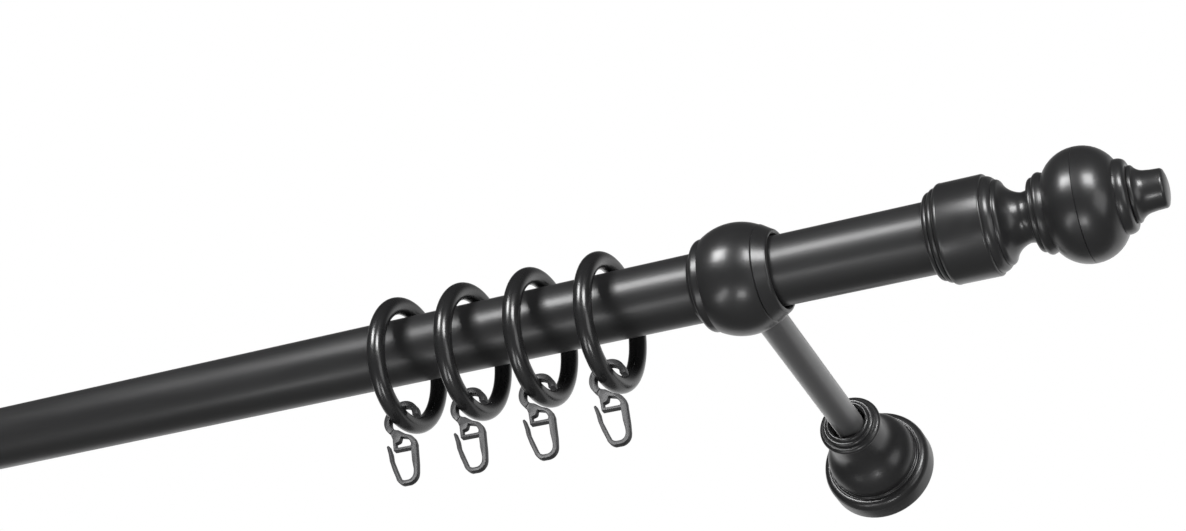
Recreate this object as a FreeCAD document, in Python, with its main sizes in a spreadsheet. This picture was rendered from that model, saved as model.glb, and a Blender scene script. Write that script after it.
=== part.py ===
"""Curtain rod on two ball brackets, with turned finials, sliding rings and
clip-on pleat hooks.

Frame, in millimetres: the wall is the plane y = 0 and +Y points into it.
The rod runs along X, its middle at x = 0, and +Z is up.  The origin is on
the wall, midway between the two brackets, at the height of the rod's axis.
"""
import FreeCAD, Part
import math
import os
import Sketcher
from FreeCAD import Rotation, Vector

doc = FreeCAD.newDocument("CurtainRod")

# ------------------------------------------------------------------ sizes
# alias, value, what it is
SIZES = [
    ("rod_radius", 14.0, "outside radius of the tube"),
    ("rod_wall", 1.0, "wall of the tube"),
    ("rod_length", 800.0, "length of the tube"),
    ("overhang", 100.0, "middle of a bracket to the end of the tube"),
    ("stand_off", 164.0, "rod axis to wall"),
    ("ball_wall", 8.45, "rod to the outside of the bracket's ball holder"),
    ("ball_edge", 11.1, "half the width of the ball between its two bands"),
    ("band_width", 5.7, "width of the tapered band on the finial side"),
    ("lip_width", 6.3, "width of the rounded lip on the other side"),
    ("band_lip", 1.6, "wall of the tapered band at its outer face"),
    ("groove_deep", 0.45, "depth of the turned grooves beside the ball"),
    ("bore_play", 0.02, "play between the rod and the holder's land"),
    ("relief_play", 0.95, "gap round the rod at the holder's open mouth"),
    ("relief_depth", 5.0, "depth of that gap"),
    ("seat_cut", 1.25, "depth of the flat that the stem seats on"),
    ("grub_radius", 2.5, "radius of the holder's locking screw hole"),
    ("grub_play", 0.05, "play of the locking screw in its hole"),
    ("grub_length", 6.0, "length of the locking screw"),
    ("hex_radius", 1.45, "half the width across corners of its socket"),
    ("stem_radius", 6.5, "radius of the stem"),
    ("stud_radius", 4.0, "radius of the stem's studs"),
    ("spigot_length", 5.5, "stem spigot inside the ball"),
    ("stud_length", 24.0, "stud that joins the stem and the wall plate"),
    ("plate_radius", 20.0, "wall plate"),
    ("plate_thick", 4.0, "wall plate"),
    ("hole_edge", 6.0, "middle of a plate's screw hole to its edge"),
    ("hole_radius", 2.4, "screw hole in a plate"),
    ("sink_radius", 4.4, "countersink of a screw hole"),
    ("rim_wall", 4.22, "wall of the flange's rim, round the plate"),
    ("flange_length", 47.0, "wall to the front of its collar"),
    ("collar_wall", 5.8, "bore of the flange's collar to its widest bead"),
    ("collar_play", 1.6, "play of the collar round the stem"),
    ("rim_step", 4.8, "edge of the dome, at the ridge, to the rim"),
    ("dome_length", 12.4, "wall to that ridge"),
    ("flange_wall", 2.0, "wall of the flange"),
    ("flange_play", 0.08, "play of the flange on the wall plate"),
    ("cup_wall", 5.35, "rod to the outside of the finial cup"),
    ("cup_length", 22.1, "front lip of the cup to its shoulder"),
    ("cup_play", 0.3, "play of the cup round the rod"),
    ("cup_overlap", 21.7, "length of rod inside the cup"),
    ("waist_radius", 9.6, "waist of the finial"),
    ("cove_length", 6.8, "last shoulder of the cup to the waist"),
    ("waist_length", 3.3, "waist to the beads before the bulb"),
    ("bulb_radius", 21.8, "largest radius of the finial's bulb"),
    ("beads_length", 6.2, "beads before the bulb"),
    ("bulb_half", 12.7, "seam to either end of the bulb"),
    ("bulb_neck", 14.8, "radius of the bulb at its two ends"),
    ("knop_radius", 14.2, "bead after the bulb"),
    ("tip_radius", 8.0, "tip of the finial"),
    ("tip_length", 13.0, "tip beyond the knop"),
    ("tie_radius", 3.0, "tie stud through the finial"),
    ("plug_length", 34.0, "finial plug inside the tube"),
    ("plug_play", 0.06, "play of the plug in the tube"),
    ("ring_radius", 25.4, "mean radius of a ring"),
    ("ring_wire", 3.7, "radius of a ring's round section"),
    ("ring_gap", 0.3, "play under the top of a ring"),
    ("ring_first", 56.5, "bracket to the nearest ring"),
    ("ring_pitch", 31.5, "ring to ring"),
    ("clip_room", 1.37, "further room in the clip, by which the hook settles"),
    ("clip_band", 2.6, "section of the clip"),
    ("clip_width", 3.2, "width of the clip along the ring"),
    ("clip_play", 0.33, "play between the clip and the ring"),
    ("hook_band", 1.8, "section of the hook's bow"),
    ("hook_thick", 2.3, "thickness of the hook"),
]
sheet = doc.addObject("Spreadsheet::Sheet", "Dims")
for row, (alias, value, note) in enumerate(SIZES, start=1):
    sheet.set("A%d" % row, note)
    sheet.set("B%d" % row, str(value))
    sheet.setAlias("B%d" % row, alias)
doc.recompute()


class Size:
    """A number that remembers the sheet formula it comes from."""

    def __init__(self, value, text):
        self.value = float(value)
        self.text = text

    def __add__(self, other):
        other = size(other)
        return Size(self.value + other.value, "(%s + %s)" % (self.text, other.text))

    def __radd__(self, other):
        return size(other) + self

    def __sub__(self, other):
        other = size(other)
        return Size(self.value - other.value, "(%s - %s)" % (self.text, other.text))

    def __rsub__(self, other):
        return size(other) - self

    def __mul__(self, other):
        other = size(other)
        return Size(self.value * other.value, "(%s * %s)" % (self.text, other.text))

    __rmul__ = __mul__

    def __truediv__(self, other):
        other = size(other)
        return Size(self.value / other.value, "(%s / %s)" % (self.text, other.text))

    def __neg__(self):
        return Size(-self.value, "(0 - %s)" % self.text)


def size(thing):
    """A plain number or a Size, as a Size."""
    if isinstance(thing, Size):
        return thing
    return Size(thing, "%.6f" % thing)


def root(thing):
    """Square root of a Size."""
    return Size(math.sqrt(thing.value), "sqrt(%s)" % thing.text)


S = {alias: Size(sheet.get(alias), "Dims.%s" % alias) for alias, _, _ in SIZES}

# what follows from those
rod_y = -S["stand_off"]
bracket_gap = S["rod_length"] - S["overhang"] * 2
ball_radius = S["rod_radius"] + S["ball_wall"]
seat_flat = ball_radius - S["seat_cut"]
hole_pitch = (S["plate_radius"] - S["hole_edge"]) * 2
rim_radius = S["plate_radius"] + S["flange_play"] + S["rim_wall"]
dome_radius = rim_radius - S["rim_step"]
collar_bore = S["stem_radius"] + S["collar_play"]
collar_radius = collar_bore + S["collar_wall"]
cup_radius = S["rod_radius"] + S["cup_wall"]
clip_bore = S["ring_wire"] + S["clip_play"] + S["clip_room"]
clip_radius = clip_bore + S["clip_band"]
PIECES = []


def bind(thing, prop, amount):
    """Tie a property of a document object to the sheet."""
    thing.setExpression(prop, size(amount).text)


def place(thing, x=0.0, y=0.0, z=0.0, turn=None):
    """Put an object at a place that the sheet sets."""
    x, y, z = size(x), size(y), size(z)
    thing.Placement = FreeCAD.Placement(
        Vector(x.value, y.value, z.value), turn or Rotation())
    for axis, amount in (("x", x), ("y", y), ("z", z)):
        if amount.text != "0.000000":
            bind(thing, "Placement.Base.%s" % axis, amount)
    return thing


def finish(thing, label):
    """Name a sub-part; its label names its file."""
    thing.Label = label
    PIECES.append(thing)
    return thing


# -------------------------------------------------------------- sketching
ORIGIN = (-1, 1)


def draw(sketch, points, bends=None):
    """Draw one closed outline.  A bend of 0 is a line; otherwise the edge
    is an arc whose rise is that share of half its chord, to the right of
    its direction when positive."""
    bends = [size(b) for b in (bends or [0.0] * len(points))]
    points = [(size(a), size(b)) for a, b in points]
    count = len(points)
    ends = []
    for i, bend in enumerate(bends):
        (xa, ya), (xb, yb) = points[i], points[(i + 1) % count]
        start = Vector(xa.value, ya.value, 0)
        stop = Vector(xb.value, yb.value, 0)
        if abs(bend.value) < 1e-9:
            geo = sketch.addGeometry(Part.LineSegment(start, stop), False)
            ends.append((geo, 1, 2))
            continue
        chord = stop - start
        side = Vector(-chord.y, chord.x, 0).normalize()
        peak = (start + stop) * 0.5 - side * (bend.value * chord.Length / 2)
        arc = Part.Arc(start, peak, stop).toShape().Curve
        centre = arc.Center
        a0 = math.atan2(start.y - centre.y, start.x - centre.x)
        a1 = math.atan2(stop.y - centre.y, stop.x - centre.x)
        circle = Part.Circle(centre, Vector(0, 0, 1), arc.Radius)
        if bend.value > 0:
            geo = sketch.addGeometry(Part.ArcOfCircle(circle, a0, a1), False)
            ends.append((geo, 1, 2))
        else:
            geo = sketch.addGeometry(Part.ArcOfCircle(circle, a1, a0), False)
            ends.append((geo, 2, 1))
    for i, (geo, one, two) in enumerate(ends):
        ahead = ends[(i + 1) % count]
        sketch.addConstraint(
            Sketcher.Constraint("Coincident", geo, two, ahead[0], ahead[1]))
        for kind, amount in (("DistanceX", points[i][0]), ("DistanceY", points[i][1])):
            where = sketch.addConstraint(Sketcher.Constraint(
                kind, ORIGIN[0], ORIGIN[1], geo, one, amount.value))
            sketch.setExpression("Constraints[%d]" % where, amount.text)
        bend = bends[i]
        if abs(bend.value) > 1e-9:
            bend = bend if bend.value > 0 else -bend
            (xa, ya), (xb, yb) = points[i], points[(i + 1) % count]
            chord = root((xb - xa) * (xb - xa) + (yb - ya) * (yb - ya))
            radius = chord * ((1 + bend * bend) / (bend * 4))
            where = sketch.addConstraint(
                Sketcher.Constraint("Radius", geo, radius.value))
            sketch.setExpression("Constraints[%d]" % where, radius.text)


def dome_bend(rise, run):
    """Bend of an arc that starts level and climbs by rise over run."""
    k = rise / run
    return (root(1 + k * k) - 1) / k


def flipped(points, bends):
    """The same outline seen from its other end."""
    points = [(-size(a), b) for a, b in reversed(points)]
    bends = list(reversed(bends))
    return points, bends[1:] + bends[:1]


def new_body(name):
    return doc.addObject("PartDesign::Body", name)


def new_sketch(body, name, plane="XY_Plane"):
    sketch = body.newObject("Sketcher::SketchObject", name)
    face = [o for o in body.Origin.OriginFeatures if o.Role == plane][0]
    sketch.AttachmentSupport = [(face, "")]
    sketch.MapMode = "FlatFace"
    return sketch


def turned(name, points, bends=None, axis="H_Axis"):
    """A body turned about the sketch's X (H_Axis) or Y (V_Axis)."""
    body = new_body(name)
    sketch = new_sketch(body, name + "_profile")
    draw(sketch, points, bends)
    turn = body.newObject("PartDesign::Revolution", name + "_turned")
    turn.Profile = sketch
    turn.ReferenceAxis = (sketch, [axis])
    turn.Angle = 360.0
    sketch.Visibility = False
    return body


def cylinder(name, radius, length, x=0, y=0, z=0, along="Z"):
    thing = doc.addObject("Part::Cylinder", name)
    thing.Radius, thing.Height = size(radius).value, size(length).value
    bind(thing, "Radius", radius)
    bind(thing, "Height", length)
    turn = {"Z": Rotation(), "X": Rotation(Vector(0, 1, 0), 90),
            "Y": Rotation(Vector(1, 0, 0), -90)}[along]
    return place(thing, x, y, z, turn)


def cone(name, r_one, r_two, length, x=0, y=0, z=0, turn=None):
    thing = doc.addObject("Part::Cone", name)
    thing.Radius1, thing.Radius2 = size(r_one).value, size(r_two).value
    thing.Height = size(length).value
    bind(thing, "Radius1", r_one)
    bind(thing, "Radius2", r_two)
    bind(thing, "Height", length)
    return place(thing, x, y, z, turn)


def torus(name, r_one, r_two, x=0, y=0, z=0, turn=None):
    thing = doc.addObject("Part::Torus", name)
    thing.Radius1, thing.Radius2 = size(r_one).value, size(r_two).value
    bind(thing, "Radius1", r_one)
    bind(thing, "Radius2", r_two)
    return place(thing, x, y, z, turn)


def cut(name, base, tools):
    """base less tools."""
    if len(tools) > 1:
        tool = doc.addObject("Part::MultiFuse", name + "_tools")
        tool.Shapes = tools
    else:
        tool = tools[0]
    thing = doc.addObject("Part::Cut", name)
    thing.Base, thing.Tool = base, tool
    return thing


def fuse(name, shapes):
    thing = doc.addObject("Part::MultiFuse", name)
    thing.Shapes = shapes
    return thing


ALONG_X = Rotation(Vector(0, 1, 0), 90)
AGAINST_X = Rotation(Vector(0, 1, 0), -90)
HALF_TURN = Rotation(Vector(0, 0, 1), 180)
SIDES = (("right", 1), ("left", -1))

# -------------------------------------------------------------- the rod
tube = turned("RodTube", [
    (-S["rod_length"] / 2, S["rod_radius"] - S["rod_wall"]),
    (S["rod_length"] / 2, S["rod_radius"] - S["rod_wall"]),
    (S["rod_length"] / 2, S["rod_radius"]),
    (-S["rod_length"] / 2, S["rod_radius"])])
finish(place(tube, y=rod_y), "rod_tube")


# ------------------------------------------------------------ the brackets
def ball_holder(side, sign):
    """Bored ball.  A tapered band with an open mouth faces the finial and a
    rounded lip faces the rings; a flat seat takes the stem and a tapped hole
    on top takes the locking screw."""
    n = "Holder%s" % side
    ball, edge = ball_radius, S["ball_edge"]
    rim = root(ball * ball - edge * edge)
    bore = S["rod_radius"] + S["bore_play"]
    mouth = S["rod_radius"] + S["relief_play"]
    out, back = edge + S["band_width"], edge + S["lip_width"]
    deep = S["groove_deep"]
    points = [
        (-back, bore), (out - S["relief_depth"], bore),
        (out - S["relief_depth"] + 0.6, mouth), (out - 0.5, mouth),
        (out, mouth + 0.5), (out, mouth + S["band_lip"] - 0.7),
        (out - 0.9, mouth + S["band_lip"] + 0.3),
        (edge + 0.75, rim - 0.1), (edge + 0.4, rim - deep - 0.1), (edge, rim),
        (-edge, rim), (-edge - 0.3, rim - deep - 0.3), (-edge - 0.7, rim - 0.75),
        (-edge - 2.3, rim - 0.8), (-edge - 4.4, rim - 2.6),
        (0.9 - back, bore + 1.2), (-back, bore + 0.7),
    ]
    bends = [0.0] * len(points)
    bends[5] = 0.3       # edge of the band
    bends[9] = (ball - rim) / edge
    bends[13] = 0.35     # round of the lip
    bends[14] = -0.22    # cove down to the rod
    if sign < 0:
        points, bends = flipped(points, bends)
    solid = turned(n + "_turning", points, bends)
    holes = [
        cylinder(n + "_seat", S["stem_radius"] * 2, ball, y=seat_flat, along="Y"),
        cylinder(n + "_socket", S["stud_radius"], ball,
                 y=seat_flat - S["spigot_length"], along="Y"),
        cylinder(n + "_tapping", S["grub_radius"], ball + 2),
    ]
    body = cut(n, solid, holes)
    return finish(place(body, x=bracket_gap * (sign / 2), y=rod_y), "ball_holder_" + side)


def locking_screw(side, sign):
    """Socket set screw that stands on the rod."""
    n = "Grub%s" % side
    radius = S["grub_radius"] - S["grub_play"]
    body = new_body(n)
    sketch = new_sketch(body, n + "_round")
    circle = sketch.addGeometry(
        Part.Circle(Vector(0, 0, 0), Vector(0, 0, 1), radius.value), False)
    sketch.addConstraint(Sketcher.Constraint("Coincident", circle, 3, -1, 1))
    where = sketch.addConstraint(Sketcher.Constraint("Radius", circle, radius.value))
    sketch.setExpression("Constraints[%d]" % where, radius.text)
    pad = body.newObject("PartDesign::Pad", n + "_shank")
    pad.Profile = sketch
    bind(pad, "Length", S["grub_length"])
    socket = new_sketch(body, n + "_hexagon")
    socket.AttachmentOffset = FreeCAD.Placement(
        Vector(0, 0, S["grub_length"].value), Rotation())
    bind(socket, "AttachmentOffset.Base.z", S["grub_length"])
    corners = [(S["hex_radius"] * math.cos(math.radians(60 * k)),
                S["hex_radius"] * math.sin(math.radians(60 * k))) for k in range(6)]
    draw(socket, corners)
    pocket = body.newObject("PartDesign::Pocket", n + "_socket")
    pocket.Profile = socket
    bind(pocket, "Length", S["grub_length"] * 0.5)
    body.Tip = pocket
    return finish(place(body, x=bracket_gap * (sign / 2), y=rod_y,
                        z=S["rod_radius"] + S["bore_play"]), "locking_screw_" + side)


def stem(side, sign):
    """Round bar from the ball to the wall plate, with a spigot at the ball
    and a tapped hole at the wall."""
    n = "Stem%s" % side
    near = seat_flat
    far = S["stand_off"] - S["plate_thick"]
    depth = S["stud_length"] - S["plate_thick"] + 0.6
    body = turned(n, [
        (0, near - S["spigot_length"]),
        (S["stud_radius"] - 0.5, near - S["spigot_length"]),
        (S["stud_radius"], near - S["spigot_length"] + 0.5),
        (S["stud_radius"], near),
        (S["stem_radius"] - 0.3, near),
        (S["stem_radius"], near + 0.3),
        (S["stem_radius"], far),
        (S["stud_radius"], far),
        (S["stud_radius"], far - depth),
        (0, far - depth)], axis="V_Axis")
    return finish(place(body, x=bracket_gap * (sign / 2), y=rod_y), "stem_" + side)


def stem_stud(side, sign):
    """Threaded stud that joins the stem and the wall plate."""
    n = "Stud%s" % side
    length = S["stud_length"] - 0.4
    body = turned(n, [
        (0, 0.4), (S["stud_radius"], 0.4), (S["stud_radius"], length - 0.8),
        (S["stud_radius"] - 0.8, length), (0, length)], axis="V_Axis")
    place(body, x=bracket_gap * (sign / 2), turn=Rotation(Vector(0, 0, 1), 180))
    return finish(body, "stem_stud_" + side)


def wall_plate(side, sign):
    """Round plate that screws to the wall: a tapped centre and two
    countersunk holes, one above the other."""
    n = "Plate%s" % side
    plate = turned(n + "_disc", [
        (S["stud_radius"], 0), (S["plate_radius"], 0),
        (S["plate_radius"], 0.5 - S["plate_thick"]),
        (S["plate_radius"] - 0.5, -S["plate_thick"]),
        (S["stud_radius"], -S["plate_thick"])], axis="V_Axis")
    tools = []
    for where, up in (("top", 0.5), ("bottom", -0.5)):
        tools.append(cylinder(n + "_hole_" + where, S["hole_radius"], S["plate_thick"] * 3,
                              y=S["plate_thick"] * -2, z=hole_pitch * up, along="Y"))
        tools.append(cone(n + "_sink_" + where, S["hole_radius"], S["sink_radius"],
                          S["sink_radius"] - S["hole_radius"],
                          y=(S["sink_radius"] - S["hole_radius"]) - S["plate_thick"],
                          z=hole_pitch * up, turn=Rotation(Vector(1, 0, 0), 90)))
    body = cut(n, plate, tools)
    return finish(place(body, x=bracket_gap * (sign / 2)), "wall_plate_" + side)


def wall_flange(side, sign):
    """Bell-shaped cover: a collar of two beads, a flaring dome, a fine
    ridge and a heavy rounded rim, hollow to clear the plate and the stem."""
    n = "Flange%s" % side
    front = -S["flange_length"]
    ridge = -S["dome_length"]
    collar, bore = collar_radius, collar_bore
    dome, rim, wall = dome_radius, rim_radius, S["flange_wall"]
    neck = collar - 1.4
    flare = neck + (dome - neck) * 0.55
    halfway = (ridge - front) * 0.31
    points = [
        (bore, front + 0.9), (bore + 1.7, front + 0.8),
        (bore + 1.95, front + 1.3), (bore + 3.7, front + 2.4),
        (bore + 3.4, front + 3.0), (collar - 1.5, front + 3.3),
        (collar - 1.4, front + 6.3), (neck, front + 6.9),
        (neck, front + 14.5), (flare, ridge - halfway),
        (dome, ridge), (dome + 0.6, ridge + 0.4), (dome + 0.4, ridge + 0.9),
        (dome + 1.4, ridge + 1.2), (rim - 0.4, -9.2), (rim, -7.6),
        (rim, -1.2), (rim - 1.2, 0.0),
        (S["plate_radius"] + S["flange_play"], 0.0),
        (S["plate_radius"] + S["flange_play"], -S["plate_thick"] - 1.5),
        (dome - wall, ridge + 0.6), (flare - wall, ridge - halfway + 0.5),
        (bore + 1.4, front + 14.5), (bore, front + 11.0),
    ]
    bends = [0.0] * len(points)
    bends[0] = 0.75      # lip of the bore
    bends[2] = 0.6       # small bead
    bends[5] = 0.93      # main bead of the collar
    bends[8] = -0.19     # flare
    bends[9] = 0.23      # dome
    bends[10] = 0.5      # ridge
    bends[12] = -0.5     # groove
    bends[13] = 0.36     # shoulder of the rim
    bends[14] = 0.10
    bends[16] = 0.414
    body = turned(n, points, bends, axis="V_Axis")
    return finish(place(body, x=bracket_gap * (sign / 2)), "wall_flange_" + side)


# ------------------------------------------------------------- the finials
def finial(side, sign):
    """Six turned pieces on a tie stud, drawn from the end of the rod
    outwards."""
    at = dict(x=S["rod_length"] * (sign / 2), y=rod_y,
              turn=None if sign > 0 else HALF_TURN)
    cup, wall_in = cup_radius, S["rod_radius"] + S["cup_play"]
    lip = -S["cup_overlap"]
    shoulder = lip + S["cup_length"]
    waist, tie = S["waist_radius"], S["tie_radius"]
    cove = shoulder + 6.3
    slim = cove + S["cove_length"]
    beads = slim + S["waist_length"]

    points = [
        (0, tie), (0, wall_in), (lip + 0.4, wall_in), (lip, wall_in + 0.4),
        (lip, cup - 3.7), (lip + 1.9, cup - 2.3), (lip + 2.1, cup - 2.7),
        (lip + 2.4, cup - 2.2), (lip + 4.1, cup - 1.3), (lip + 4.4, cup - 1.6),
        (lip + 4.8, cup - 0.9), (lip + 7.0, cup),
        (shoulder - 0.1, cup), (shoulder + 0.9, cup - 0.8),
        (shoulder + 0.9, cup - 1.1), (shoulder + 3.9, cup - 2.4),
        (shoulder + 4.2, cup - 2.7), (shoulder + 4.3, cup - 3.2),
        (cove, cup - 4.3), (slim, waist), (beads, waist + 0.9), (beads, tie),
    ]
    bends = [0.0] * len(points)
    bends[4] = 0.35      # first lip
    bends[7] = 0.35      # second lip
    bends[10] = 0.35     # round on to the cup
    bends[12] = 0.41
    bends[14] = 0.22     # first shoulder
    bends[17] = 0.40     # second shoulder
    bends[18] = -0.24    # cove down to the waist
    bends[19] = -0.12
    bends = [-b for b in bends]
    body = turned("Cup%s" % side, points, bends)
    finish(place(body, **at), "finial_cup_" + side)

    half = S["bulb_half"]
    seam = beads + S["beads_length"] + half
    neck, big = S["bulb_neck"], S["bulb_radius"]
    points = [
        (beads, tie), (beads, waist + 1.4), (beads + 0.2, neck - 2.2),
        (beads + 2.0, neck - 0.7), (beads + 2.3, neck - 0.8),
        (beads + 4.3, neck + 0.7), (beads + 5.4, neck + 0.3),
        (seam - half, neck), (seam - 0.2, big), (seam, big - 0.25), (seam, tie)]
    bends = [0.0] * len(points)
    bends[2] = -0.5
    bends[4] = -0.4
    bends[7] = -dome_bend(big - neck, half - 0.2)
    body = turned("BulbIn%s" % side, points, bends)
    finish(place(body, **at), "finial_bulb_inner_" + side)

    knop = S["knop_radius"]
    stop = seam + half
    points = [
        (seam, tie), (seam, big - 0.25), (seam + 0.2, big), (stop, neck - 0.3),
        (stop + 0.15, knop - 0.2), (stop + 3.5, knop - 0.9), (stop + 4.2, knop - 3.4),
        (stop + 4.2, tie)]
    bends = [0.0] * len(points)
    bends[2] = -dome_bend(big - neck + 0.3, half - 0.2)
    bends[4] = -0.20
    bends[5] = -0.25
    body = turned("BulbOut%s" % side, points, bends)
    finish(place(body, **at), "finial_bulb_outer_" + side)

    tip = S["tip_radius"]
    start = stop + 4.2
    end = start + S["tip_length"]
    points = [
        (start, 0), (start, tip + 2.3), (start + 0.1, tip + 2.4),
        (start + 2.0, tip + 2.0), (start + 5.4, tip - 0.1), (end - 2.4, tip - 0.6),
        (end - 0.9, tip - 1.4), (end, 0)]
    bends = [0.0] * len(points)
    bends[2] = -0.55
    bends[3] = 0.18
    bends[4] = 0.04
    bends[5] = -0.3
    bends[6] = -0.12
    whole = turned("TipBlank%s" % side, points, bends)
    hole = cylinder("TipHole%s" % side, tie, 8, x=start - 1, along="X")
    body = cut("Tip%s" % side, whole, [hole])
    finish(place(body, **at), "finial_tip_" + side)

    inner = S["rod_radius"] - S["rod_wall"] - S["plug_play"]
    blank = turned("PlugBlank%s" % side, [
        (-S["plug_length"], tie), (-S["plug_length"], inner - 1.5),
        (1.5 - S["plug_length"], inner), (0, inner), (0, tie)])
    slots = []
    for k in range(2):
        slot = doc.addObject("Part::Box", "PlugSlot%s%d" % (side, k))
        for prop, amount in (("Length", S["plug_length"] * 0.7),
                             ("Width", S["rod_radius"] * 2), ("Height", size(1.6))):
            setattr(slot, prop, amount.value)
            bind(slot, prop, amount)
        turn = Rotation(Vector(1, 0, 0), 90.0 * k)
        centre = -S["rod_radius"] if k == 0 else size(0.8)
        lift = size(-0.8) if k == 0 else -S["rod_radius"]
        place(slot, x=-S["plug_length"] - 1, y=centre, z=lift, turn=turn)
        slots.append(slot)
    body = cut("Plug%s" % side, blank, slots)
    finish(place(body, **at), "finial_plug_" + side)

    body = turned("Tie%s" % side, [
        (2 - S["plug_length"], 0), (2 - S["plug_length"], tie - 0.6),
        (2.6 - S["plug_length"], tie), (start + 6.2, tie),
        (start + 6.8, tie - 0.6), (start + 6.8, 0)])
    finish(place(body, **at), "finial_tie_stud_" + side)


for side, sign in SIDES:
    ball_holder(side, sign)
    locking_screw(side, sign)
    stem(side, sign)
    stem_stud(side, sign)
    wall_plate(side, sign)
    wall_flange(side, sign)
    finial(side, sign)

# ------------------------------------------------- the rings and the hooks
# A ring hangs from the top of the rod; its clip hangs from the ring's
# lowest point.
drop = S["ring_radius"] - S["ring_wire"] - S["rod_radius"] - S["ring_gap"]
low = -drop - S["ring_radius"]


def ring(number, x):
    body = torus("Ring%d" % number, S["ring_radius"], S["ring_wire"],
                 x=x, y=rod_y, z=-drop, turn=ALONG_X)
    return finish(body, "ring_%d" % number)


def hook(number, x):
    """Moulded pleat hook.  An open round clip springs over the ring; below
    it a gusset carries a bow that ends in an open point, with a bar across
    the top of the bow."""
    n = "Hook%d" % number
    r_out, r_in = clip_radius, clip_bore
    # the clip hangs a little to one side, so that its bow hangs under the ring
    cx, cz = S["clip_room"] * 0.66, S["clip_room"] * -0.75
    w = S["hook_band"]

    def at(x, z):
        """A point measured from the middle of the clip."""
        return cx + x, cz + z

    def under(x, z):
        """A point measured from the lowest point of the clip."""
        return cx + x, cz - r_out + z

    def clip_point(radius, degrees):
        return at(radius * math.cos(math.radians(degrees)),
                  radius * math.sin(math.radians(degrees)))

    body = new_body(n)
    sketch = new_sketch(body, n + "_outline", "XZ_Plane")
    turn = (4, 94, 184, 238)
    clip = [clip_point(r_out, a) for a in turn]
    inner = [clip_point(r_in, a) for a in (262, 184, 94, 4)]
    bow = [
        under(-2.9, -1.4), under(-1.6, -7.1), under(6.6, -7.1),
        # inside of the bow: down the back, along the foot, up to the point
        under(7.9, -13.0), under(9.1, -16.8), under(9.4, -19.3), under(7.1, -21.7), under(5.6, -21.7),
        under(2.9, -19.5), under(0.6, -15.2), under(-1.5, -11.2), under(-2.5, -7.8), under(-4.2, -4.3),
        under(-5.2, -4.7), under(-3.7, -8.6), under(-2.8, -11.6), under(-0.8, -16.0),
        under(1.4, size(-18.3) - w), under(4.9, size(-21.7) - w), under(7.6, size(-21.7) - w),
        under(9.5 + w, -19.8), under(9.4 + w, -17.6), under(9.0 + w, -14.6), under(7.3 + w, -6.2),
        under(6.6 + w, -4.0), under(7.1, -2.0), under(5.2, -0.6), under(2.9, 0.3),
    ]
    points = clip + bow + inner
    bends = [0.0] * len(points)
    quarter = math.tan(math.radians(turn[1] - turn[0]) / 4)
    bends[0] = bends[1] = quarter
    bends[2] = math.tan(math.radians(turn[3] - turn[2]) / 4)
    base = len(clip)
    for edge, bend in ((4, -0.08), (5, -0.41), (7, -0.24), (8, -0.02), (12, 0.8),
                       (17, 0.24), (19, 0.38), (20, 0.06), (23, 0.12), (24, 0.12), (25, 0.10)):
        bends[base + edge] = bend
    back = base + len(bow)
    bends[back] = -math.tan(math.radians(262 - 184) / 4)
    bends[back + 1] = bends[back + 2] = -quarter
    draw(sketch, points, bends)
    # window between the shoulder and the bar
    draw(sketch, [under(0.9, -0.8), under(0.7, -2.6), under(0.2, -3.1), under(-1.2, -3.5),
                  under(-0.5, -5.8), under(6.2, -5.8), under(6.3, -4.8), under(5.2, -2.9),
                  under(3.7, -1.6)])
    pad = body.newObject("PartDesign::Pad", n + "_moulding")
    pad.Profile = sketch
    pad.Midplane = True
    bind(pad, "Length", S["hook_thick"])
    # the clip is broader than the bow
    broad = new_sketch(body, n + "_clip", "XZ_Plane")
    draw(broad, clip + [clip_point(r_in, a) for a in reversed(turn)],
         [quarter, quarter, bends[2], 0.0, -bends[2], -quarter, -quarter, 0.0])
    band = body.newObject("PartDesign::Pad", n + "_clip_pad")
    band.Profile = broad
    band.Midplane = True
    bind(band, "Length", S["clip_width"])
    body.Tip = band
    return finish(place(body, x=x, y=rod_y, z=low), "hook_%d" % number)


spots = []
for k in range(4):
    spots.append(-(bracket_gap / 2 - S["ring_first"] - S["ring_pitch"] * k))
for k in reversed(range(4)):
    spots.append(bracket_gap / 2 - S["ring_first"] - S["ring_pitch"] * k)
for number, x in enumerate(spots, start=1):
    ring(number, x)
    hook(number, x)

# ------------------------------------------------------- build and hand over
doc.recompute()
bad = [o.Name for o in doc.Objects if "Invalid" in o.State or "Error" in o.State]
if bad:
    raise RuntimeError("features that failed: %s" % bad)
for piece in PIECES:
    shape = piece.Shape
    if shape.isNull() or not shape.isValid() or not shape.Solids:
        raise RuntimeError("no valid solid in %s" % piece.Label)
os.makedirs("parts", exist_ok=True)
for piece in PIECES:
    piece.Shape.exportStep("parts/%s.step" % piece.Label)
    box = piece.Shape.BoundBox
    print("%-26s %3d solid  %10.1f mm3  x %.1f..%.1f  y %.1f..%.1f  z %.1f..%.1f" % (
        piece.Label, len(piece.Shape.Solids), piece.Shape.Volume, box.XMin, box.XMax,
        box.YMin, box.YMax, box.ZMin, box.ZMax))
print(len(PIECES), "nodes")
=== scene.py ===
# %% [markdown]
# # A curtain rod on ball brackets
#
# This lesson finishes a curtain rod whose frame already exists as a solid
# model: a tube, two ball brackets with bell-shaped wall flanges, turned
# finials, hanging rings and small plastic hooks.  The frame gives every place
# and the main sizes.  Blender adds fine surfaces, rounded edges and finishes.
# Places and lamps are in metres.  The outlines of the turned pieces, and every
# name that ends in mm, are in millimetres.

# %% Load the frame
import math

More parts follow.
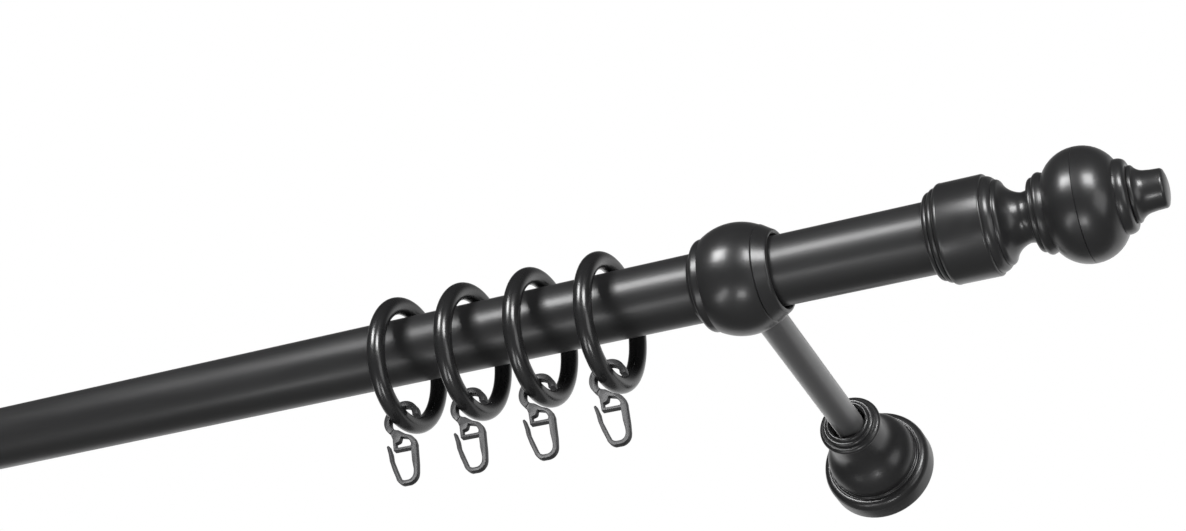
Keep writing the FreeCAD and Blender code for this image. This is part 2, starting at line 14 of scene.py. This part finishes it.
import bmesh
import bpy
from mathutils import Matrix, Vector


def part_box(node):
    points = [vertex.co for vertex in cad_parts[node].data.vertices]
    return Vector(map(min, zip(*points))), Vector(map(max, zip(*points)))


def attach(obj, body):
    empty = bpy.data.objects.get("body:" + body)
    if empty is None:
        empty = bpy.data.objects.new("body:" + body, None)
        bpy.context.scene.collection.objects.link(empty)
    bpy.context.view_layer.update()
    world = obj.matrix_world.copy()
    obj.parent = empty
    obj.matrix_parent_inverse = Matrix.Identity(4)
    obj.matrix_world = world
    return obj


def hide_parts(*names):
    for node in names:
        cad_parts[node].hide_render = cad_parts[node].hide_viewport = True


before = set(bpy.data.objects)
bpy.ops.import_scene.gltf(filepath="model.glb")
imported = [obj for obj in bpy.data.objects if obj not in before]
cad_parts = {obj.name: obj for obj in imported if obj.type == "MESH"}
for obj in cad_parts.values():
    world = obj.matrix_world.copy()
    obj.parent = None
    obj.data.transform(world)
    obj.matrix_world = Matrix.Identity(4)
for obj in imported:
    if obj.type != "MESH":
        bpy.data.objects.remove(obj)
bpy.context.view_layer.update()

# %% [markdown]
# ## The camera
#
# A rod hangs over a window, so people see it from below.  The camera stands
# low, in front of the wall and towards one end, and looks up with a lens a
# little longer than normal, so that the near finial grows larger than the
# far rings without bending any straight line.

# %% Place the camera
LENS_MM = 60.92
CAMERA_PLACE = Vector((0.56142, -0.76179, -0.44147))
CAMERA_TURN = (124.324, -3.673, 26.248)

camera_data = bpy.data.cameras.new("camera")
camera_data.lens = LENS_MM
camera_data.sensor_width = 36.0
camera_data.clip_start = 0.01
camera_data.clip_end = 60.0
camera = bpy.data.objects.new("camera", camera_data)
camera.location = CAMERA_PLACE
camera.rotation_euler = [math.radians(a) for a in CAMERA_TURN]
bpy.context.scene.collection.objects.link(camera)
bpy.context.scene.camera = camera
print("camera", round(CAMERA_PLACE.length, 3), "m from the wall's centre point")

# %% [markdown]
# ## Sizes that the solid model already holds
#
# The places of the brackets, the rod ends and the rings come from the boxes of
# the solid nodes, so a new frame moves every Blender piece with it.  A box says
# nothing of the steps inside an outline, so those are given with each outline.

# %% Read places from the frame
MM = 0.001
SIDES = (("right", 1), ("left", -1))


def middle(node):
    """Centre of a solid node's box."""
    low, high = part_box(node)
    return (low + high) / 2


ROD = middle("rod_tube")
ROD_RADIUS = (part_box("rod_tube")[1].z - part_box("rod_tube")[0].z) / 2
ROD_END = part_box("rod_tube")[1].x
print("rod radius", round(ROD_RADIUS / MM, 2), "mm, end at", round(ROD_END, 3))

# %% [markdown]
# ## Lacquer on metal
#
# The rod set is sprayed with a dark charcoal lacquer.  Sprayed lacquer is
# never a single flat colour: it has a faint pebbled skin, slow changes of
# gloss where it dried thicker, and a very slight change of shade.  One helper
# builds this finish from three noises of different size, and each call sets
# its own colour, gloss and grain, so the parts relate without being alike.


# %% A helper for sprayed and moulded finishes
def node(tree, kind, **values):
    """Add a node and set its plain properties."""
    made = tree.nodes.new(kind)
    for name, value in values.items():
        setattr(made, name, value)
    return made


def noise(tree, vector, scale, detail=4.0, roughness=0.55):
    """A soft noise that reads the given coordinates."""
    made = node(tree, "ShaderNodeTexNoise")
    made.inputs["Scale"].default_value = scale
    made.inputs["Detail"].default_value = detail
    made.inputs["Roughness"].default_value = roughness
    tree.links.new(vector, made.inputs["Vector"])
    return made.outputs["Fac"]


def ramp(tree, value, low, high):
    """Stretch a noise from its usual middle range to low..high."""
    made = node(tree, "ShaderNodeMapRange")
    made.inputs["From Min"].default_value = 0.3
    made.inputs["From Max"].default_value = 0.7
    made.inputs["To Min"].default_value = low
    made.inputs["To Max"].default_value = high
    tree.links.new(value, made.inputs["Value"])
    return made.outputs["Result"]


SHADE_SCALE, GLOSS_SCALE = 38.0, 120.0
BUMP_STRENGTH, SHEEN_ROUGH = 0.35, 0.4


def finish(name, colour, rough, metallic=0.0, specular=0.5, coat=0.0,
           coat_rough=0.2, sheen=0.0, shade=0.06, gloss_change=0.04, grain_mm=0.9,
           grain_depth=0.02, stretch=(1.0, 1.0, 1.0)):
    """A finish with a slow change of shade and gloss and a fine skin."""
    made = bpy.data.materials.new(name)
    made.use_nodes = True
    tree = made.node_tree
    shader = tree.nodes["Principled BSDF"]
    where = node(tree, "ShaderNodeTexCoord").outputs["Object"]
    turn = node(tree, "ShaderNodeMapping")
    turn.inputs["Scale"].default_value = stretch
    tree.links.new(where, turn.inputs["Vector"])
    where = turn.outputs["Vector"]

    slow = noise(tree, where, SHADE_SCALE)
    mix = node(tree, "ShaderNodeMix", data_type="RGBA")
    mix.inputs["A"].default_value = [c * (1 - shade) for c in colour] + [1]
    mix.inputs["B"].default_value = [c * (1 + shade) for c in colour] + [1]
    tree.links.new(ramp(tree, slow, 0.0, 1.0), mix.inputs["Factor"])
    tree.links.new(mix.outputs["Result"], shader.inputs["Base Color"])

    cloudy = noise(tree, where, GLOSS_SCALE)
    tree.links.new(ramp(tree, cloudy, rough - gloss_change, rough + gloss_change),
                   shader.inputs["Roughness"])

    skin = noise(tree, where, 1.0 / (grain_mm * MM), detail=2.0)
    bump = node(tree, "ShaderNodeBump")
    bump.inputs["Strength"].default_value = BUMP_STRENGTH
    bump.inputs["Distance"].default_value = grain_depth * MM
    tree.links.new(skin, bump.inputs["Height"])
    tree.links.new(bump.outputs["Normal"], shader.inputs["Normal"])

    shader.inputs["Metallic"].default_value = metallic
    shader.inputs["Specular IOR Level"].default_value = specular
    shader.inputs["Coat Weight"].default_value = coat
    shader.inputs["Coat Roughness"].default_value = coat_rough
    shader.inputs["Sheen Weight"].default_value = sheen
    shader.inputs["Sheen Roughness"].default_value = SHEEN_ROUGH
    return made


print("noise scales", SHADE_SCALE, "for shade and", GLOSS_SCALE, "for gloss")


# %% Make the finishes
CHARCOAL = (0.016, 0.016, 0.0165)
rod_lacquer = finish("rod_lacquer", CHARCOAL, 0.40, metallic=0.25, coat=0.08, sheen=0.06,
                     gloss_change=0.06, grain_depth=0.008, stretch=(0.12, 1.0, 1.0))
turned_lacquer = finish("turned_lacquer", CHARCOAL, 0.32, metallic=0.30, coat=0.15,
                        sheen=0.05, grain_depth=0.006)
ring_lacquer = finish("ring_lacquer", (0.014, 0.014, 0.0145), 0.27, metallic=0.30,
                      coat=0.25, grain_depth=0.004)
stem_lacquer = finish("stem_lacquer", (0.034, 0.034, 0.035), 0.46, coat=0.8, coat_rough=0.30,
                      sheen=0.45, grain_mm=0.45, grain_depth=0.03, shade=0.04)
hook_plastic = finish("hook_plastic", (0.022, 0.022, 0.023), 0.42, specular=0.28, shade=0.08,
                      grain_mm=1.4, grain_depth=0.002)
plug_plastic = finish("plug_plastic", (0.03, 0.03, 0.032), 0.5, grain_mm=0.4)
zinc = finish("zinc", (0.55, 0.55, 0.57), 0.38, metallic=1.0, shade=0.12,
              grain_mm=0.6, stretch=(1.0, 0.2, 1.0))
print(len(bpy.data.materials), "finishes")

# %% [markdown]
# ## Finish the solid nodes that stay
#
# The tube, the ball holders, the stems, screws, studs, plates and plugs are
# right as they are.  They only trade the flat grey of the solid model for a
# finish of their own.  The other nodes are dressed too, and replaced later.

# %% Give each solid node its finish
FINISH_OF = (("rod_tube", rod_lacquer), ("ball_holder", turned_lacquer),
             ("wall_flange", turned_lacquer), ("finial_plug", plug_plastic),
             ("finial_tie", zinc), ("stem_stud", zinc), ("locking_screw", zinc),
             ("wall_plate", zinc), ("finial", turned_lacquer),
             ("stem", stem_lacquer), ("ring", ring_lacquer), ("hook", hook_plastic))


def dress(name, solid):
    """Give a solid node the first finish whose name it starts with."""
    for start, chosen in FINISH_OF:
        if name.startswith(start):
            solid.data.materials.clear()
            solid.data.materials.append(chosen)
            return
    raise ValueError(name)


for name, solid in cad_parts.items():
    dress(name, solid)
print(len(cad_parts), "solid nodes have a finish")

# %% [markdown]
# ## Outlines for turned pieces
#
# The finial and the wall flange are turned: each is one outline carried round
# an axis.  The outline is a short list of corners, and a corner can say that
# the edge after it is an arc.  Its bend is the arc's rise over half its chord,
# so 0 is a straight edge, 1 is a half circle, and the sign picks the side.
# Working the arcs out by formula keeps the list short and the curves round.

# %% Turn corners and bends into points
ARC_STEP = math.radians(8)


def along_arc(start, stop, bend):
    """Points of one edge from start up to, not including, stop."""
    turn = 4 * math.atan(bend)
    steps = max(1, math.ceil(abs(turn) / ARC_STEP))
    chord = complex(*stop) - complex(*start)
    points = []
    for k in range(steps):
        share = k / steps
        reach = share
        swing = 1
        if bend:
            reach = math.sin(turn * share / 2) / math.sin(turn / 2)
            swing = complex(math.cos(turn * (share - 1) / 2), math.sin(turn * (share - 1) / 2))
        spot = complex(*start) + chord * reach * swing
        points.append((spot.real, spot.imag))
    return points


def outline(corners):
    """Points, in millimetres, round an outline of (radius, along, bend)."""
    points = []
    for here, ahead in zip(corners, corners[1:] + corners[:1]):
        points += along_arc(here[:2], ahead[:2], here[2])
    return points


print("a half circle takes", len(along_arc((0, 0), (1, 0), 1)), "steps")

# %% [markdown]
# ## A lathe made of geometry nodes
#
# A lathe follows a rule, so one node tree makes every turned piece.  A circle
# of radius one is the path, and the outline is swept along it.  The outline is
# drawn one metre short of its radius, so it lands at its true distance from the
# axis.  The tree's inputs are the outline, the number of steps round the axis,
# the axis, the place, the angle above which an edge stays crisp, and the finish.
# Merging by distance closes the pole at the tip, and only then is the surface
# smoothed.


# %% Build the lathe tree
def new_tree(name, inputs):
    """A node group with named inputs and one geometry output."""
    tree = bpy.data.node_groups.new(name, "GeometryNodeTree")
    sockets = {}
    for label, kind in inputs:
        sockets[label] = tree.interface.new_socket(label, in_out="INPUT", socket_type=kind)
    tree.interface.new_socket("Geometry", in_out="OUTPUT", socket_type="NodeSocketGeometry")
    return tree, sockets, node(tree, "NodeGroupInput"), node(tree, "NodeGroupOutput")


MERGE_MM = 0.002


def set_in_place(tree, given, shape, done):
    """Point the shape's Z along the axis, move it, smooth it and finish it."""
    join = tree.links.new
    aim = node(tree, "FunctionNodeAlignRotationToVector", axis="Z")
    join(given.outputs["Axis"], aim.inputs["Vector"])
    move = node(tree, "GeometryNodeTransform")
    join(shape, move.inputs["Geometry"])
    join(aim.outputs["Rotation"], move.inputs["Rotation"])
    join(given.outputs["Place"], move.inputs["Translation"])
    merge = node(tree, "GeometryNodeMergeByDistance")
    merge.inputs["Distance"].default_value = MERGE_MM * MM
    join(move.outputs["Geometry"], merge.inputs["Geometry"])
    angle = node(tree, "GeometryNodeInputMeshEdgeAngle")
    crisp = node(tree, "FunctionNodeCompare", data_type="FLOAT", operation="LESS_THAN")
    join(angle.outputs["Unsigned Angle"], crisp.inputs["A"])
    join(given.outputs["Crisp Angle"], crisp.inputs["B"])
    smooth = node(tree, "GeometryNodeSetShadeSmooth", domain="EDGE")
    join(merge.outputs["Geometry"], smooth.inputs["Geometry"])
    join(crisp.outputs["Result"], smooth.inputs["Shade Smooth"])
    real = node(tree, "GeometryNodeRealizeInstances")
    join(smooth.outputs["Geometry"], real.inputs["Geometry"])
    paint = node(tree, "GeometryNodeSetMaterial")
    join(real.outputs["Geometry"], paint.inputs["Geometry"])
    join(given.outputs["Finish"], paint.inputs["Material"])
    join(paint.outputs["Geometry"], done.inputs["Geometry"])


LATHE, LATHE_IN, given, done = new_tree("lathe", (
    ("Outline", "NodeSocketGeometry"), ("Steps", "NodeSocketInt"),
    ("Axis", "NodeSocketVector"), ("Place", "NodeSocketVector"),
    ("Crisp Angle", "NodeSocketFloat"), ("Finish", "NodeSocketMaterial")))
circle = node(LATHE, "GeometryNodeCurvePrimitiveCircle", mode="RADIUS")
circle.inputs["Radius"].default_value = 1.0
LATHE.links.new(given.outputs["Steps"], circle.inputs["Resolution"])
upright = node(LATHE, "GeometryNodeSetCurveNormal", mode="Z_UP")
LATHE.links.new(circle.outputs["Curve"], upright.inputs["Curve"])
edge = node(LATHE, "GeometryNodeMeshToCurve")
LATHE.links.new(given.outputs["Outline"], edge.inputs["Mesh"])
sweep = node(LATHE, "GeometryNodeCurveToMesh")
LATHE.links.new(upright.outputs["Curve"], sweep.inputs["Curve"])
LATHE.links.new(edge.outputs["Curve"], sweep.inputs["Profile Curve"])
set_in_place(LATHE, given, sweep.outputs["Mesh"], done)
print("lathe tree with", len(LATHE.nodes), "nodes")


# %% A helper that runs a tree and keeps a plain mesh
def run_tree(name, tree, sockets, mesh, values):
    """Run a node tree on a mesh and return the result as a plain object whose
    faces point outwards."""
    blank = bpy.data.objects.new(name + "_blank", mesh)
    bpy.context.scene.collection.objects.link(blank)
    step = blank.modifiers.new("tree", "NODES")
    step.node_group = tree
    for label, value in values.items():
        step[sockets[label].identifier] = value
    solved = blank.evaluated_get(bpy.context.evaluated_depsgraph_get())
    result = bpy.data.meshes.new_from_object(solved)
    bpy.data.objects.remove(blank)
    work = bmesh.new()
    work.from_mesh(result)
    if work.calc_volume(signed=True) < 0:
        bmesh.ops.reverse_faces(work, faces=work.faces)
    work.to_mesh(result)
    work.free()
    made = bpy.data.objects.new(name, result)
    bpy.context.scene.collection.objects.link(made)
    return made


LATHE_STEPS = 160
CRISP_TURNED, CRISP_RING = math.radians(32), math.radians(60)


def turned(name, corners, axis, place, chosen):
    """A turned piece from an outline in millimetres."""
    points = outline(corners)
    mesh = bpy.data.meshes.new(name + "_outline")
    mesh.from_pydata([(radius * MM - 1.0, -along * MM, 0.0) for radius, along in points],
                     [(k, (k + 1) % len(points)) for k in range(len(points))], [])
    return run_tree(name, LATHE, LATHE_IN, mesh, {
        "Steps": LATHE_STEPS, "Axis": axis, "Place": place,
        "Crisp Angle": CRISP_TURNED, "Finish": chosen})


def hand_over(piece, body, nodes):
    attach(piece, body)
    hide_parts(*nodes)
    print(piece.name, len(piece.data.polygons), "faces on", body)


print("turned pieces get", LATHE_STEPS, "steps round the axis")

# %% [markdown]
# ## The wall flanges
#
# A bell-shaped cover hides the plate at the wall.  From the front it has a
# fine lip round the bore, a small bead, a full bead, a narrow neck, a flare
# that swells into a dome, a hairline ridge and a heavy rounded rim.  The solid
# model gives the rim and the length, and the outline steps back from those.

# %% Turn the two flanges
PLATE_THICK = (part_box("wall_plate_right")[1].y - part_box("wall_plate_right")[0].y) / MM
PLATE_RADIUS = (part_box("wall_plate_right")[1].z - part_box("wall_plate_right")[0].z) / 2 / MM
STEM_RADIUS = (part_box("stem_right")[1].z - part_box("stem_right")[0].z) / 2 / MM
COLLAR_PLAY, COLLAR_WALL, NECK_STEP = 1.6, 5.8, 1.4
RIM_STEP, RIDGE_AT, FLANGE_WALL, FLANGE_PLAY = 4.8, -12.4, 2.0, 0.08


def flange_corners(rim, front):
    """Outline of a flange, from the lip of its bore round to the inside."""
    bore = STEM_RADIUS + COLLAR_PLAY
    collar = bore + COLLAR_WALL
    neck = collar - NECK_STEP
    dome = rim - RIM_STEP
    ridge = RIDGE_AT
    wall = FLANGE_WALL
    flare = neck + (dome - neck) * 0.55
    swell = ridge - (ridge - front) * 0.31
    inside = PLATE_RADIUS + FLANGE_PLAY
    return [
        (bore, front + 0.9, 0.75), (bore + 1.7, front + 0.8, 0),
        (bore + 1.95, front + 1.3, 0.6), (bore + 3.7, front + 2.4, 0),
        (bore + 3.4, front + 3.0, 0), (collar - 1.5, front + 3.3, 0.93),
        (collar - 1.4, front + 6.3, 0), (neck, front + 6.9, 0),
        (neck, front + 14.5, -0.19), (flare, swell, 0.23),
        (dome, ridge, 0.5), (dome + 0.6, ridge + 0.4, 0), (dome + 0.4, ridge + 0.9, -0.5),
        (dome + 1.4, ridge + 1.2, 0.36), (rim - 0.4, -9.2, 0.10), (rim, -7.6, 0),
        (rim, -1.2, 0.414), (rim - 1.2, 0.0, 0), (inside, 0.0, 0),
        (inside, -PLATE_THICK - 1.5, 0), (dome - wall, ridge + 0.6, 0),
        (flare - wall, swell + 0.5, 0), (bore + 1.4, front + 14.5, 0),
        (bore, front + 11.0, 0)]


for side, sign in SIDES:
    low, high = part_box("wall_flange_" + side)
    corners = flange_corners((high.z - low.z) / 2 / MM, (low.y - high.y) / MM)
    place = (middle("wall_flange_" + side).x, high.y, 0.0)
    flange = turned("turned_flange_" + side, corners, (0, 1, 0), place, turned_lacquer)
    hand_over(flange, "wall_flange_%s_body" % side, ["wall_flange_" + side])

# %% [markdown]
# ## The finials
#
# Each finial is screwed together from four turned pieces, and the joints
# between them show as fine dark lines, so the pieces stay separate here too:
# a cup with stepped shoulders and a waist, two halves of the bulb that meet at
# a seam, and a tip.  Distances along the axis start at the end of the rod.

# %% Outlines of the four finial pieces
TIE, WAIST, BULB_NECK, TIP_RADIUS = 3.0, 9.6, 14.8, 8.0
CUP_PLAY, CUP_LENGTH, WAIST_LENGTH, BEADS_LENGTH = 0.3, 22.1, 3.3, 6.2


def cup_corners(cup, lip, bore, length, end):
    """Cup, two stepped shoulders and the cove down to the waist."""
    shoulder = lip + length
    return [
        (TIE, 0, 0), (bore, 0, 0), (bore, lip + 0.4, 0), (bore + 0.4, lip, 0),
        (cup - 3.7, lip, 0.35), (cup - 2.3, lip + 1.9, 0), (cup - 2.7, lip + 2.1, 0),
        (cup - 2.2, lip + 2.4, 0.35), (cup - 1.3, lip + 4.1, 0), (cup - 1.6, lip + 4.4, 0),
        (cup - 0.9, lip + 4.8, 0.35), (cup, lip + 7.0, 0),
        (cup, shoulder - 0.1, 0.41), (cup - 0.8, shoulder + 0.9, 0),
        (cup - 1.1, shoulder + 0.9, 0.22), (cup - 2.4, shoulder + 3.9, 0),
        (cup - 2.7, shoulder + 4.2, 0), (cup - 3.2, shoulder + 4.3, 0.40),
        (cup - 4.3, shoulder + 6.3, -0.24), (WAIST, end - WAIST_LENGTH, -0.12),
        (WAIST + 0.9, end, 0), (TIE, end, 0)]


def dome_bend(rise, run):
    """Bend of an arc that starts level and climbs by rise over run."""
    slope = rise / run
    return (math.sqrt(1 + slope * slope) - 1) / slope


def inner_bulb_corners(big, neck, start, seam, half):
    """Beads and the half of the bulb on the rod's side."""
    return [
        (TIE, start, 0), (WAIST + 1.4, start, 0), (neck - 2.2, start + 0.2, 0.5),
        (neck - 0.7, start + 2.0, 0), (neck - 0.8, start + 2.3, 0.4),
        (neck + 0.7, start + 4.3, 0), (neck + 0.3, start + 5.4, 0),
        (neck, seam - half, dome_bend(big - neck, half - 0.2)),
        (big, seam - 0.2, 0), (big - 0.25, seam, 0), (TIE, seam, 0)]


def outer_bulb_corners(big, neck, seam, half, end):
    """Half of the bulb on the tip's side, and the knop."""
    knop = neck - 0.6
    stop = seam + half
    return [
        (TIE, seam, 0), (big - 0.25, seam, 0),
        (big, seam + 0.2, dome_bend(big - neck + 0.3, half - 0.2)),
        (neck - 0.3, stop, 0), (knop - 0.2, stop + 0.15, 0.20),
        (knop - 0.9, stop + 3.5, 0.25), (knop - 3.4, end, 0), (TIE, end, 0)]


def tip_corners(tip, start, end):
    """Collar, waist and the slightly domed end."""
    return [
        (0, start, 0), (tip + 2.3, start, 0), (tip + 2.4, start + 0.1, 0.55),
        (tip + 2.0, start + 2.0, -0.18), (tip - 0.1, start + 5.4, -0.04),
        (tip - 0.6, end - 2.4, 0.3), (tip - 1.4, end - 0.9, 0.12), (0, end, 0)]


print("waist radius", WAIST, "mm, bulb's neck radius", BULB_NECK, "mm")


# %% Turn the eight finial pieces
def span(node_name, sign):
    """Start, end and radius of a node, in millimetres from the rod's end."""
    low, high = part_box(node_name)
    ends = sorted((corner.x * sign - ROD_END) / MM for corner in (low, high))
    return ends[0], ends[1], (high.z - low.z) / 2 / MM


for side, sign in SIDES:
    lip, cup_end, cup = span("finial_cup_" + side, sign)
    beads, seam, big = span("finial_bulb_inner_" + side, sign)
    _, knop_end, _ = span("finial_bulb_outer_" + side, sign)
    tip_start, tip_end, _ = span("finial_tip_" + side, sign)
    half = seam - beads - BEADS_LENGTH
    shapes = (
        ("cup", cup_corners(cup, lip, ROD_RADIUS / MM + CUP_PLAY, CUP_LENGTH, cup_end)),
        ("bulb_inner", inner_bulb_corners(big, BULB_NECK, beads, seam, half)),
        ("bulb_outer", outer_bulb_corners(big, BULB_NECK, seam, half, knop_end)),
        ("tip", tip_corners(TIP_RADIUS, tip_start, tip_end)))
    for part, corners in shapes:
        piece = turned("turned_%s_%s" % (part, side), corners, (sign, 0, 0),
                       (sign * ROD_END, ROD.y, ROD.z), turned_lacquer)
        hand_over(piece, "finial_" + side, ["finial_%s_%s" % (part, side)])

# %% [markdown]
# ## The rings
#
# Eight metal rings hang on the rod.  A ring is a round wire carried round a
# circle, so a second small tree sweeps one circle along another, and a loop
# runs it once for each ring, because each ring moves on its own body.

# %% Sweep the eight rings
RING, RING_IN, given, done = new_tree("hanging_ring", (
    ("Mesh", "NodeSocketGeometry"), ("Ring Radius", "NodeSocketFloat"),
    ("Wire Radius", "NodeSocketFloat"), ("Ring Steps", "NodeSocketInt"),
    ("Wire Steps", "NodeSocketInt"), ("Axis", "NodeSocketVector"),
    ("Place", "NodeSocketVector"), ("Crisp Angle", "NodeSocketFloat"),
    ("Finish", "NodeSocketMaterial")))
hoop = node(RING, "GeometryNodeCurvePrimitiveCircle", mode="RADIUS")
RING.links.new(given.outputs["Ring Radius"], hoop.inputs["Radius"])
RING.links.new(given.outputs["Ring Steps"], hoop.inputs["Resolution"])
wire = node(RING, "GeometryNodeCurvePrimitiveCircle", mode="RADIUS")
RING.links.new(given.outputs["Wire Radius"], wire.inputs["Radius"])
RING.links.new(given.outputs["Wire Steps"], wire.inputs["Resolution"])
sweep = node(RING, "GeometryNodeCurveToMesh")
RING.links.new(hoop.outputs["Curve"], sweep.inputs["Curve"])
RING.links.new(wire.outputs["Curve"], sweep.inputs["Profile Curve"])
set_in_place(RING, given, sweep.outputs["Mesh"], done)

RING_COUNT, RING_STEPS, WIRE_STEPS = 8, 128, 32
for number in range(1, RING_COUNT + 1):
    low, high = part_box("ring_%d" % number)
    wire_radius = (high.x - low.x) / 2
    ring = run_tree("swept_ring_%d" % number, RING, RING_IN,
                    bpy.data.meshes.new("ring_blank"), {
                        "Ring Radius": (high.z - low.z) / 2 - wire_radius,
                        "Wire Radius": wire_radius, "Ring Steps": RING_STEPS,
                        "Wire Steps": WIRE_STEPS,
                        "Axis": (1, 0, 0), "Place": (low + high) / 2,
                        "Crisp Angle": CRISP_RING, "Finish": ring_lacquer})
    hand_over(ring, "ring_%d_body" % number, ["ring_%d" % number])

# %% [markdown]
# ## The hooks
#
# The hooks are moulded plastic, and no moulded edge is razor sharp.  The
# solid hook has the right outline, so a copy of its mesh is cleaned into flat
# faces and a Bevel modifier rounds the rim, which lets the edges catch light.

# %% Round the edges of the eight hooks
HOOK_EDGE_MM, HOOK_EDGE_STEPS = 0.42, 3
FLAT_ANGLE, RIM_ANGLE = math.radians(1.5), math.radians(50)


def rounded_hook(number):
    """A copy of a solid hook with flat faces joined and its rim rounded."""
    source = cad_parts["hook_%d" % number]
    work = bmesh.new()
    work.from_mesh(source.data)
    bmesh.ops.remove_doubles(work, verts=work.verts, dist=MERGE_MM * MM)
    bmesh.ops.dissolve_limit(work, angle_limit=FLAT_ANGLE, verts=work.verts,
                             edges=work.edges)
    mesh = bpy.data.meshes.new("hook_blank")
    work.to_mesh(mesh)
    work.free()
    mesh.shade_smooth()
    blank = bpy.data.objects.new("hook_blank", mesh)
    bpy.context.scene.collection.objects.link(blank)
    bevel = blank.modifiers.new("edge", "BEVEL")
    bevel.width = HOOK_EDGE_MM * MM
    bevel.segments = HOOK_EDGE_STEPS
    bevel.limit_method = "ANGLE"
    bevel.angle_limit = RIM_ANGLE
    bevel.harden_normals = True
    solved = blank.evaluated_get(bpy.context.evaluated_depsgraph_get())
    result = bpy.data.meshes.new_from_object(solved)
    bpy.data.objects.remove(blank)
    result.materials.clear()
    result.materials.append(hook_plastic)
    made = bpy.data.objects.new("moulded_hook_%d" % number, result)
    bpy.context.scene.collection.objects.link(made)
    return made


for number in range(1, RING_COUNT + 1):
    hand_over(rounded_hook(number), "hook_%d_body" % number, ["hook_%d" % number])

# %% [markdown]
# ## Room and light
#
# A pale floor lies well below, as it does under a real curtain rod.  Where the
# camera sees them, the world is white and the floor nearly so.  Metal shows what
# it reflects, so the light that the rod sees is softer and darker than that:
# large soft lamps draw one broad highlight along the rod and a fainter one
# under it, and a weak lamp beside the finial opens the faces that look its way.


# %% The floor and the world
def pale(name, seen_grey, rough):
    """A pale matt surface that shows an even tone to the camera."""
    made = bpy.data.materials.new(name)
    made.use_nodes = True
    tree = made.node_tree
    shader = tree.nodes["Principled BSDF"]
    shader.inputs["Base Color"].default_value = (0.85, 0.85, 0.85, 1)
    shader.inputs["Roughness"].default_value = rough
    glow = node(tree, "ShaderNodeEmission")
    glow.inputs["Color"].default_value = (seen_grey, seen_grey, seen_grey, 1)
    choose = node(tree, "ShaderNodeMixShader")
    tree.links.new(node(tree, "ShaderNodeLightPath").outputs["Is Camera Ray"],
                   choose.inputs["Fac"])
    tree.links.new(shader.outputs[0], choose.inputs[1])
    tree.links.new(glow.outputs[0], choose.inputs[2])
    tree.links.new(choose.outputs[0], tree.nodes["Material Output"].inputs["Surface"])
    return made


FLOOR_Z = -2.2
FRONT_GREY, BACK_WHITE, BACK_RANGE = 0.10, 1.2, (0.25, 0.75)
ROOF_SHARE, ROOF_RANGE = 0.25, (0.45, 0.9)
FLOOR_HALF = 6.0
floor_mesh = bpy.data.meshes.new("floor")
floor_mesh.from_pydata([(-FLOOR_HALF, -FLOOR_HALF, FLOOR_Z), (FLOOR_HALF, -FLOOR_HALF, FLOOR_Z),
                        (FLOOR_HALF, FLOOR_HALF, FLOOR_Z), (-FLOOR_HALF, FLOOR_HALF, FLOOR_Z)],
                       [], [(0, 1, 2, 3)])
floor = bpy.data.objects.new("floor", floor_mesh)
floor_mesh.materials.append(pale("pale_floor", 0.80, 0.9))
bpy.context.scene.collection.objects.link(floor)

world = bpy.data.worlds.new("world")
bpy.context.scene.world = world
world.use_nodes = True
sky = world.node_tree
for old in list(sky.nodes):
    sky.nodes.remove(old)
seen = node(sky, "ShaderNodeBackground")
seen.inputs["Color"].default_value = (1, 1, 1, 1)
seen.inputs["Strength"].default_value = 1.0
felt = node(sky, "ShaderNodeBackground")
felt.inputs["Strength"].default_value = 1.0
heading = node(sky, "ShaderNodeSeparateXYZ")
sky.links.new(node(sky, "ShaderNodeTexCoord").outputs["Generated"], heading.inputs[0])


def fade(value, start_and_stop, low, high):
    """Ease from low to high as value crosses a range."""
    made = node(sky, "ShaderNodeMapRange", interpolation_type="SMOOTHSTEP")
    made.inputs["From Min"].default_value = start_and_stop[0]
    made.inputs["From Max"].default_value = start_and_stop[1]
    made.inputs["To Min"].default_value = low
    made.inputs["To Max"].default_value = high
    sky.links.new(value, made.inputs["Value"])
    return made.outputs["Result"]


behind = fade(heading.outputs["Y"], BACK_RANGE, FRONT_GREY, BACK_WHITE)
below = fade(heading.outputs["Z"], ROOF_RANGE, 1.0, ROOF_SHARE)
both = node(sky, "ShaderNodeMath", operation="MULTIPLY")
sky.links.new(behind, both.inputs[0])
sky.links.new(below, both.inputs[1])
sky.links.new(both.outputs[0], felt.inputs["Strength"])
path = node(sky, "ShaderNodeLightPath")
choose = node(sky, "ShaderNodeMixShader")
out = node(sky, "ShaderNodeOutputWorld")
sky.links.new(path.outputs["Is Camera Ray"], choose.inputs["Fac"])
sky.links.new(felt.outputs[0], choose.inputs[1])
sky.links.new(seen.outputs[0], choose.inputs[2])
sky.links.new(choose.outputs[0], out.inputs["Surface"])
bpy.context.scene.view_settings.view_transform = "Standard"
print("floor at", FLOOR_Z, "m, and a world of", len(sky.nodes), "nodes")


# %% The lamps
def lamp(name, place, aim, size, power):
    """A soft rectangular lamp at place, turned to aim, that lights the set
    but is not seen itself."""
    data = bpy.data.lights.new(name, "AREA")
    data.shape = "RECTANGLE"
    data.size, data.size_y = size
    data.energy = power
    made = bpy.data.objects.new(name, data)
    made.location = place
    made.rotation_euler = (Vector(aim) - Vector(place)).to_track_quat("-Z", "Y").to_euler()
    made.visible_camera = False
    bpy.context.scene.collection.objects.link(made)
    return made


AIM = Vector((0.30, -0.16, 0.0))
LAMPS = (
    ("key_left", (-0.14, -1.30, 0.44), (0.50, 0.45), 20),
    ("key_right", (1.07, -1.15, 0.33), (0.55, 0.42), 20),
    ("low_left", (-0.25, -0.71, -0.99), (0.69, 0.23), 3.4),
    ("low_right", (0.53, -0.62, -1.03), (0.23, 0.23), 2.9),
    ("beside", (1.60, -0.70, -0.35), (0.80, 0.80), 5.0),
)
for name, place, size, power in LAMPS:
    lamp(name, place, AIM, size, power)
print(len(LAMPS), "lamps")
